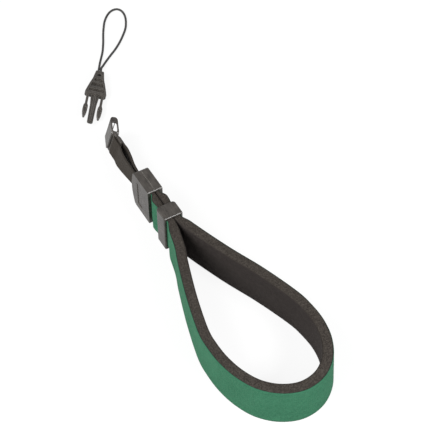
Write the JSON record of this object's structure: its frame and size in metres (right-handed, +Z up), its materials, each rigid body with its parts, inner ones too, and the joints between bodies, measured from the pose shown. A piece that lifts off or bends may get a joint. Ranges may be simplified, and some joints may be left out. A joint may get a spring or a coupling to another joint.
{
  "type": "camera wrist strap",
  "caption": "Wrist strap: a padded fabric band looped through a clamp and a sliding keeper, with short webbing, a side-release buckle and a thin cord loop.",
  "frame": {"origin": "middle of the footprint without the cord, on the surface the strap lies on", "axes": "+Y from the wrist loop towards the buckle, +Z up, so that the band stands on its edge"},
  "size_m": [0.0944, 0.3317, 0.0265],
  "materials": {
    "foam": "matte",
    "green_knit": "matte",
    "black_knit": "matte",
    "black_plastic": "satin",
    "black_webbing": "matte",
    "black_cord": "matte"
  },
  "bodies": {
    "strap": {"band_foam": "foam", "band_facing": "green_knit", "band_lining": "black_knit", "clamp_shell_left": "black_plastic", "clamp_shell_right": "black_plastic", "socket": "black_plastic", "webbing": "black_webbing", "plug": "black_plastic", "cord_knot": "black_cord", "cord_loop": "black_cord"},
    "slider": {"slider": "black_plastic"}
  },
  "joints": [
    {"name": "slider_slide", "type": "slide", "parent": "strap", "child": "slider", "axis": [0, -1, 0], "range_m": [-0.01, 0.04], "deforming": ["band_foam", "band_facing", "band_lining"]}
  ]
}
